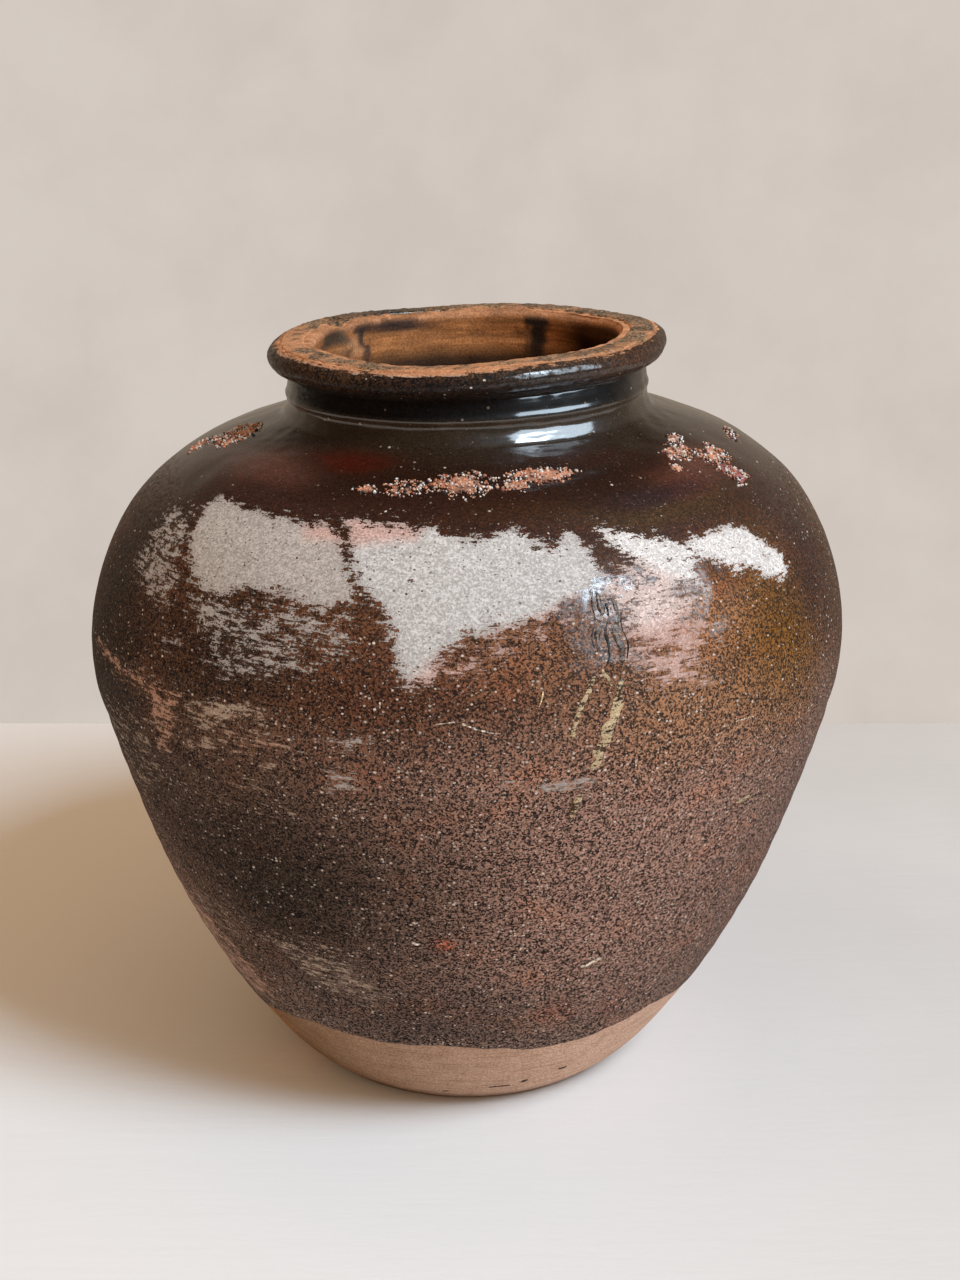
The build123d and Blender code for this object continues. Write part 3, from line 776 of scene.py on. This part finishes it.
def clay_course(node):
    """One course as a closed ring, with throwing ridges inside."""
    section = course_loop(node, 0.0012 if node == "rim_roll" else 0.0026 if node in SHOWN else 0.005)
    radius, height, side = section.T[..., None]
    turn = round_once(480 if node in SHOWN else 240)
    ridges = 0.00035 * np.sin(height / 0.0024 + 1.5 * np.sin(turn)) + uneven(turn, height, (0.4, 20, 57))
    relief = np.where(side > 0, hand(turn, run_at(height)), np.where(side < 0, ridges, 0.0))
    lip = uneven(turn, radius + height, (0.35, 5, 59)) * eased((height - 0.343) / 0.003)
    make_piece("clay_" + node, [skin(leaned(turn, radius + relief, height + lip), True)], BARE_CLAY,
               "stoneware" if node in SHOWN else "inner_clay", [node],
               tone=clay_tone(*np.broadcast_arrays(turn, radius, height, side)))


for node in COURSES:
    clay_course(node)

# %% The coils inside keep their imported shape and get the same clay
for node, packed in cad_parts.items():
    if node.endswith("_coil"):
        packed.data.materials.clear()
        packed.data.materials.append(COIL_CLAY)

# %% [markdown]
# ## The two coats
# The slip was brushed on down to a wavy line; the glaze was poured over the upper half and ran out
# thin. Each is a closed skin: an outer sheet, rounded off at its edges, and an inner one just inside
# the clay's face. The glaze starts as thick as the slip, so no step shows where it ends.

# %% The slip: its lower edge as turns and heights in mm, its thickness and its brush marks
SLIP_EDGE_TURNS = [-180, -120, -70, -57, -45, -34, -19, -5, 5, 12, 19, 28, 35, 43, 56, 70, 110, 150, 180]
SLIP_EDGE_HEIGHTS = [50, 44, 36, 38, 47, 52, 51, 53, 51, 48, 47.5, 48, 51.5, 55, 50, 46, 52, 47, 50]
SLIP, GLAZE, LINING = 0.0005, 0.001, -0.00025


def coat(name, turn, places, thickness, node, slot):
    """A closed skin: rows of runs up the wall at a thickness, and every eighth row back down inside."""
    back = places[::-8]
    run = np.concatenate([places, back])
    proud = np.concatenate([thickness(turn, places), np.full(back.shape, LINING)])
    make_piece(name, [skin(on_wall(turn, run, proud), True)], WEATHERED_GLAZE, slot, [node],
               **weathering(np.broadcast_to(turn, run.shape), run))


def rows_between(low, high, count):
    """Rows of runs, evenly spaced between two edges."""
    return low + (high - low) * np.linspace(0, 1, count)[:, None]


def brushed(turn, places):
    """Brush ridges and sandy lumps in the slip."""
    ridges = np.sin(places / 0.0021 + uneven(turn, places, (2000, 50, 64)))
    return uneven(turn, places, (0.12, 6, 63)) + 0.0001 * ridges


def slip_thickness(turn, places):
    """The slip's thickness and relief, rounded at its edges by the root of the distance from them; it sinks
    a little under the glaze."""
    rounded = np.sqrt(np.clip(np.minimum(places - places[:1], places[-1:] - places) / 0.001, 0, 1))
    return rounded * (SLIP + brushed(turn, places) - 0.00016 * eased((at_run(places)[1] - 0.1885) / 0.004))


turn = round_once(600)
edge = np.interp(np.degrees(turn), SLIP_EDGE_TURNS, SLIP_EDGE_HEIGHTS) / 1000
edge = run_at(edge + uneven(turn, turn * 0, (0.6, 10, 61), (0.3, 3, 62)))
coat("slip_coat", turn, rows_between(edge, run_at(0.2), 84), slip_thickness, "iron_slip", "iron_slip")

# %% The glaze; height and extra thickness over the neck in mm: a fillet, a ridge, a pool under the rim
NECK_HEIGHTS, NECK_FILL = np.array([
    (310, 0), (312, 0.3), (314, 1.3), (316, 1.6), (318, 1.3), (320, 0.9), (322, 0.7), (324, 1.2), (325.2, 1.6),
    (326, 1.3), (327, -0.1), (328, -0.8), (330, -0.7), (331, 0.0), (332, 0.9), (333, 1.6), (334, 1.5), (335, 0.5),
    (336, 0),
]).T / 1000


def glaze_thickness(turn, places):
    """Slip and glaze together: as thick as the slip at first and full after 12 mm, sagging in long lumps,
    knobbly in one place, thick in the neck's corners and worn thin at the lip."""
    height = at_run(places)[1]
    eased_in = eased((places - places[:1]) / 0.012)
    knobs = bell(apart_from(turn, 28) / 42, (height - 0.25) / 0.028, power=4)
    sag = uneven(turn, places, (0.22, 22, 65)) + uneven(turn, places * 3, (0.08, 9, 66))
    sag = sag + knobs * uneven(turn, places, (0.3, 10, 67), (0.34, 5.5, 70))
    sag = sag + eased((height - 0.3365) / 0.002) * uneven(turn * 0.6, places, (0.16, 5, 68), (0.12, 2.2, 69))
    sag = sag + np.interp(height, NECK_HEIGHTS, NECK_FILL)
    from_lip = places[-1:] - places
    worn = np.sqrt(np.clip(from_lip / 0.0004, 0, 1)) * (0.1 + 0.9 * eased(from_lip / 0.007))
    return worn * (SLIP + 0.00003 + (1 - eased_in) * brushed(turn, places) + eased_in * (GLAZE + sag))


turn = round_once(556)
low, knee = run_at(0.186 + uneven(turn, turn * 0, (3, 30, 71))), run_at(0.306)
high = run_at(0.3473 + uneven(turn, turn * 0, (0.3, 8, 72)))
places = np.concatenate([rows_between(low, knee, 84), rows_between(knee, high, 62)[1:]])
coat("glaze_coat", turn, places, glaze_thickness, "poured_glaze", "dark_glaze")

# %% [markdown]
# ## The glaze on the lip
# A flat ring of grey-olive glaze lies on the roll, worn back to orange clay along both edges. The
# crust's colour stands for the clay that shows through.

# %% Lip glaze
LIP_INNER, OLIVE, LIP_SOOT = 0.0728, np.array((0.165, 0.105, 0.06)), (0.02, 0.015, 0.012)
turn = round_once(480)
share = np.linspace(0, 1, 22)[:, None]
outer_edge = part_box("lip_glaze")[1].x + 0.0012 + uneven(turn, turn * 0, (0.8, 6, 73))
inner_edge = LIP_INNER + 0.0004 + uneven(turn, turn * 0 + 1, (0.8, 6, 74))
radius = outer_edge + (inner_edge - outer_edge) * share
tuck = np.sqrt(np.clip(np.minimum(share, 1 - share) / 0.1, 0, 1))
top = tops["rim_roll"] + tuck * (0.0008 + uneven(turn, radius, (0.22, 4, 75)))
radius = np.concatenate([radius, radius[::-3]])
height = np.concatenate([top, np.full((len(radius) - len(top), turn.size), tops["rim_roll"] - 0.0004)])
from_edge = np.minimum(outer_edge - radius, radius - inner_edge)
wear = 0.24 + uneven(turn, radius, (200, 14, 76)) + 0.26 * np.clip(1 - from_edge / 0.0022, 0, 1)
wear = wear + 0.34 * bell(apart_from(turn, -82) / 70) + 0.26 * bell(apart_from(turn, 0) / 135)
sooty = bell(apart_from(np.broadcast_to(turn, radius.shape), -150) / 40)
tone = OLIVE * (1 + uneven(turn, radius, (400, 15, 77)))[..., None]
make_piece("lip_glaze_ring", [skin(leaned(turn, radius, height), True)], WEATHERED_GLAZE, "lip_glaze", ["lip_glaze"],
           tone=washed(tone, 0.8 * sooty, LIP_SOOT), crust=wear - 0.5 * sooty,
           crust_tone=tone * 0 + LIP_TONE, gloss=radius * 0 + 0.35, sand=radius * 0 + 0.2)

# %% [markdown]
# ## Kiln scars
# Seven wads of gritty clay once held up the next jar in the kiln. Each left a closed blister here, with
# many grains that stand out of it: one icosahedron's points, turned, stretched and set down at once.

# %% Scar finish and the crystal
def grit():
    """The painted tone, broken by fine noise, quite dull."""
    made = new_finish("wad_grit")
    tone, grain = made.painted("tone", "Color"), made.noise(0.0009, 2.0, 0.6)
    broken = made.mix(made.rise(grain, 0.35, 0.65), made.times(tone, 0.55, 0.5, 0.48), tone)
    made.set(Base_Color=broken, Roughness=0.7, Normal=made.relief(grain * 0.35))
    return made.owner


GRIT = grit()
golden = (1 + 5 ** 0.5) / 2
pairs = [(a, b) for a in (-1, 1) for b in (-golden, golden)]
CRYSTAL = np.array([(a, b, 0) for a, b in pairs] + [(0, a, b) for a, b in pairs] + [(b, 0, a) for a, b in pairs])
CRYSTAL = CRYSTAL / (golden + 2) ** 0.5
near = np.linalg.norm(CRYSTAL[:, None] - CRYSTAL[None], axis=2) < 1.1
CRYSTAL_FACES = np.array([trio for trio in combinations(range(12), 3)
                          if all(near[pair] for pair in combinations(trio, 2))])
corners = CRYSTAL[CRYSTAL_FACES]
facing = (np.cross(corners[:, 1] - corners[:, 0], corners[:, 2] - corners[:, 0]) * corners.mean(axis=1)).sum(axis=1)
CRYSTAL_FACES = np.where(facing[:, None] < 0, CRYSTAL_FACES[:, ::-1], CRYSTAL_FACES)
print("crystal faces", len(CRYSTAL_FACES))

# %% Grains' tones and the share of each, then one scar
GRAIN_TONES = np.array([(0.9, 0.86, 0.82), (0.66, 0.25, 0.11), (0.34, 0.1, 0.05), (0.74, 0.4, 0.25),
                        (0.03, 0.02, 0.016), (0.76, 0.62, 0.5)])
GRAIN_SHARES = [0.3, 0.21, 0.12, 0.13, 0.13, 0.11]
SEAT = 0.0004


def scar(seed, centre, level, half_length, half_width, grains, reddish=(0.56, 0.25, 0.14)):
    """A blister and its grains. The edge is an oval whose radius wanders by lumps; the height is 1.6 mm
    and lumps, times the root of 1 minus the share of the way out squared."""
    chance = np.random.default_rng(seed)
    middle = run_at(level / 1000)
    radius_here = at_run(middle)[0]

    def oval(out, angle):
        """Metres east and north of the middle, a share of the way out."""
        c, s = np.cos(angle), np.sin(angle)
        ragged = 1 + 0.26 * lumps(c * 1.7, s * 1.7, 1.0, seed) + 0.22 * lumps(c * 6, s * 6, 1.0, seed + 1)
        return out * ragged * c * half_length / 1000, out * ragged * s * half_width / 1000

    def spot(east, north, up):
        return on_wall(np.radians(centre) + east / radius_here, middle + north, up)

    out = np.concatenate([np.linspace(0, 1, 5), np.linspace(1, 0, 18)[1:]])[:, None]
    east, north = oval(out, round_once(72, 0))
    bumps = 0.7 * lumps(east, north, 0.005, seed + 2) + 0.5 * lumps(east, north, 0.0022, seed + 3)
    proud = SEAT + (0.0016 + 0.0008 * bumps) * np.sqrt(np.clip(1 - out ** 2, 0, 1))
    proud[:5] = SEAT
    blister, faces = skin(spot(east, north, proud))
    shade = np.clip(0.85 + 0.9 * bumps, 0.12, 1.6)[..., None] * np.array(reddish)
    far, angle = np.sqrt(chance.random(grains)) * 1.16, chance.random(grains) * 2 * np.pi
    size = 0.00032 + 0.00052 * chance.random(grains) ** 2
    seat = spot(*oval(far, angle), 0.0015 + 0.0007 * np.sqrt(np.clip(1 - far ** 2, 0, 1)))
    frames = np.linalg.qr(chance.normal(size=(grains, 3, 3)))[0]
    frames = frames * np.where(np.linalg.det(frames) < 0, -1, 1)[:, None, None]
    stretched = CRYSTAL[None] * (size[:, None] * (0.7 + 0.6 * chance.random((grains, 3))))[:, None, :]
    crystals = seat[:, None] + np.einsum("gij,gkj->gki", frames, stretched)
    picked = GRAIN_TONES[chance.choice(len(GRAIN_TONES), grains, p=GRAIN_SHARES)]
    starts = len(blister) + 12 * np.arange(grains)[:, None, None]
    shape = (np.concatenate([blister, crystals.reshape(-1, 3)]), faces, (CRYSTAL_FACES[None] + starts).reshape(-1, 3))
    return shape, np.concatenate([shade.reshape(-1, 3), np.repeat(picked, 12, axis=0)])


def scar_piece(side, *spots):
    """One mesh from one or more scars, sized in millimetres."""
    name = "wad_scar_" + side
    made = [scar(sum(map(ord, name)) + 17 * number, *spot) for number, spot in enumerate(spots)]
    shapes, tones = zip(*made)
    make_piece(name + "_grit", shapes, GRIT, "wad_grit", [name], tone=np.concatenate(tones))


# %% Seven scars: turn, height, half length, half width in mm, grains, the clay's colour if it differs
scar_piece("left", (-80, 305, 12, 11, 230), (-86, 299, 7, 6, 60))
scar_piece("front_left", (-1.4, 304, 11.5, 7.5, 260), (-12.5, 303, 8.5, 5.5, 130), (-21, 302, 5, 2.6, 40))
scar_piece("front_right", (17, 305, 12, 5.5, 190), (10, 303, 6, 3.5, 50))
scar_piece("right", (56, 303.5, 10, 6, 170), (64, 300.5, 10, 5.5, 150), (62, 306.5, 6, 3.5, 50),
           (48.5, 301, 4, 3, 26), (61, 296.5, 6, 4, 50, (0.36, 0.1, 0.08)),
           (62, 293, 8, 4.5, 70, (0.36, 0.09, 0.075)))
scar_piece("far_right", (86, 299.5, 9, 3, 60, (0.07, 0.04, 0.03)))
scar_piece("back_right", (147, 304, 14, 7, 210))
scar_piece("back_left", (-149, 304, 16, 7, 240))

# %% [markdown]
# ## The run of thick glaze
# Right of the middle the glaze ran: two dark wrinkled ridges with thin lines of painted shadow beside
# them, and pale prongs below where it crusted.
# Threads and scratches lie about the belly. Each is a bead: a small oval section carried along a path,
# thinning to a point at both ends.

# %% Beads of glaze
BEAD_STEP, BEAD_SIDES, BEAD_ROUGH = 0.0006, 14, 0.35
BEAD_CRUST = (0.64, 0.5, 0.31)


def bead(path, half_width, proud, seed, base):
    """One bead along a path of turns and heights in mm: half_width times the cosine sideways and proud times
    the sine upwards, from base above the clay."""
    turns, heights = np.reshape(path, (-1, 2)).astype(float).T
    radius_here = at_run(run_at(heights[0] / 1000))[0]
    flat = np.stack([np.radians(turns) * radius_here, run_at(heights / 1000)], axis=1)
    run = travelled(flat)
    steps = np.linspace(0, run[-1], max(8, int(run[-1] / BEAD_STEP)))

    def wobble(size, number, across=0 * steps, along=steps):
        return lumps(along, across, size, seed + number)

    middle = np.stack([evened(np.interp(steps, run, column), 9) for column in flat.T], axis=1)
    middle += np.stack([wobble(0.004, 0), wobble(0.004, 1)], axis=1) * half_width * 0.6
    ahead = unit(np.gradient(middle, axis=0))
    angle = round_once(BEAD_SIDES, 0)
    end = (np.clip(np.minimum(steps, run[-1] - steps) / (4 * half_width), 0, 1) ** 0.7)[:, None]
    side = half_width * end * (1 + BEAD_ROUGH * wobble(0.0022, 2)[:, None]) * np.cos(angle)
    tall = proud * end * (1 + BEAD_ROUGH * wobble(0.0018, 3, 2 * np.cos(angle) * half_width, steps[:, None]))
    up = base + np.where(np.sin(angle) > 0, tall, 0.001) * np.sin(angle)
    east, north = middle[:, :1] - side * ahead[:, 1:], middle[:, 1:] + side * ahead[:, :1]
    return skin(on_wall(east / radius_here, north, up * end ** 0.5))


def bead_piece(name, beads, slot, nodes=(), base=0.0013):
    """One mesh from beads: path, half width and height in mm, tone, gloss and crust of each."""
    shapes = [bead(path, half_width / 1000, proud / 1000, 80 + 5 * number, base)
              for number, (path, half_width, proud, *_) in enumerate(beads)]
    counts = [len(points) for points, _ in shapes]
    tone, gloss, crust = (np.repeat(np.array(values, float), counts, axis=0) for values in list(zip(*beads))[3:])
    make_piece(name, shapes, WEATHERED_GLAZE, slot, nodes, tone=tone, gloss=gloss, crust=crust,
               crust_tone=tone * 0 + BEAD_CRUST, sand=crust * 0)


DARK, CREAM = (0.042, 0.024, 0.012), (0.62, 0.52, 0.3)
# The first, near-black tone is painted shadow for the thin lines beside the run's ridges.
RIDGE_SHADOW, BROWN = (0.02, 0.013, 0.009), (0.07, 0.042, 0.026)
bead_piece("glaze_run", [
    ([19.4, 274, 18.6, 268, 19.0, 262, 17.8, 256, 18.2, 250, 17.0, 244], 1.5, 0.42, BROWN, 0.3, 0.22),
    ([20.8, 270, 21.2, 263, 20.4, 257, 21.2, 251, 20.4, 245, 20.8, 240], 1.4, 0.42, BROWN, 0.3, 0.22),
    # Painted shadow: thin near-black lines beside the ridges.
    ([18.4, 272, 17.7, 267, 18.0, 262, 16.9, 256, 17.2, 250], 0.36, 0.5, RIDGE_SHADOW, 0.2, 0.12),
    ([19.8, 268, 19.9, 262, 19.0, 257, 19.4, 250, 18.2, 243], 0.55, 0.45, RIDGE_SHADOW, 0.2, 0.12),
    ([22.0, 264, 21.4, 258, 22.2, 252, 21.4, 245], 0.36, 0.5, RIDGE_SHADOW, 0.2, 0.12),
    ([17.2, 246, 16, 237, 15, 232, 14, 226, 13.2, 221, 13, 217], 1.2, 0.65, DARK, 0.2, 0.54),
    ([18.2, 247, 18, 242, 19.8, 235], 0.9, 0.65, DARK, 0.3, 0.56),
    ([21.2, 243, 20.4, 236, 19.6, 229, 18.4, 221, 17.2, 213, 16.2, 206, 15.6, 201],
     2.0, 0.65, DARK, 0.3, 0.57),
    ([16.2, 199, 15, 194, 14.2, 188, 14, 182], 1.8, 0.5, DARK, 0.2, 0.5),
], "pooled_glaze", ["glaze_trickle"])

# %% Pale threads, specks in a row, the blister and the bubble ring
PALE = (0.42, 0.37, 0.31)
THIN = (0.2, PALE, 0.3, 0.0)
bead_piece("pale_threads", [
    ([-11, 239, -11.2, 235, -11, 230], 0.7, 0.3, PALE, 0.3, 0.0),
    ([-12, 223, -11, 220, -11.8, 217, -10, 213], 0.35, *THIN),
    ([10, 240, 9.8, 235, 9, 231], 0.4, 0.3, CREAM, 0.1, 0.7),
    ([9.8, 236, 10.8, 232], 0.35, 0.3, CREAM, 0.1, 0.7),
    ([-6.4, 223, -4.4, 227, -1, 228.4], 0.28, 0.15, PALE, 0.3, 0.0),
    ([-1, 228.4, 1, 225.4, 3, 223.4, 5, 223.2, 7.4, 226.4], 0.38, *THIN),
    ([34.6, 211, 39, 212.4, 42.4, 211.8], 0.32, 0.15, PALE, 0.3, 0.0),
    ([45.4, 220, 47, 214, 46.2, 208], 0.5, *THIN),
    ([42, 171.5, 46.4, 173.5], 0.7, 0.2, BROWN, 0.1, 0.5),
    ([19, 102, 21, 103.4, 23.2, 106.4], 0.45, *THIN),
    ([8, 116, 9, 120.6], 0.35, *THIN),
    ([2, 203, 4, 202.6], 0.5, *THIN),
    ([-8.6, 132, -7, 133], 0.35, *THIN),
    ([-9, 121.5, -7, 120], 0.35, *THIN),
    ([-27, 291.5, -23.4, 291.9], 0.35, *THIN),
    ([50, 297.5, 53, 295.5, 56, 293.5], 2.0, 0.5, (0.04, 0.032, 0.024), 0.8, 0.0),
    ([(34 + 1.4 * np.cos(a), 315 + 0.9 * np.sin(a)) for a in np.linspace(0, 6.1, 16)],
     0.5, 0.5, (0.1, 0.08, 0.07), 1.0, 0.0),
], "pooled_glaze")

# %% Nicks where the luting has opened in the foot's seam: half width in mm, and the two ends
SOOT = (0.03, 0.018, 0.012)
NICKS = [
    (0.3, (-7.4, 10.6), (-4.6, 11.2)), (0.26, (5.6, 15.6), (12.4, 16.0)), (0.8, (14.2, 17.0), (17.2, 19.4)),
    (0.45, (23.6, 23.6), (27.0, 24.4)), (0.45, (-142, 15.6), (-134, 16.0)), (0.6, (96, 18.0), (101, 18.6)),
]
bead_piece("seam_nicks", [(ends, wide, 0.14, SOOT, 0.0, 0.0) for wide, *ends in NICKS], "stoneware", base=0.0002)
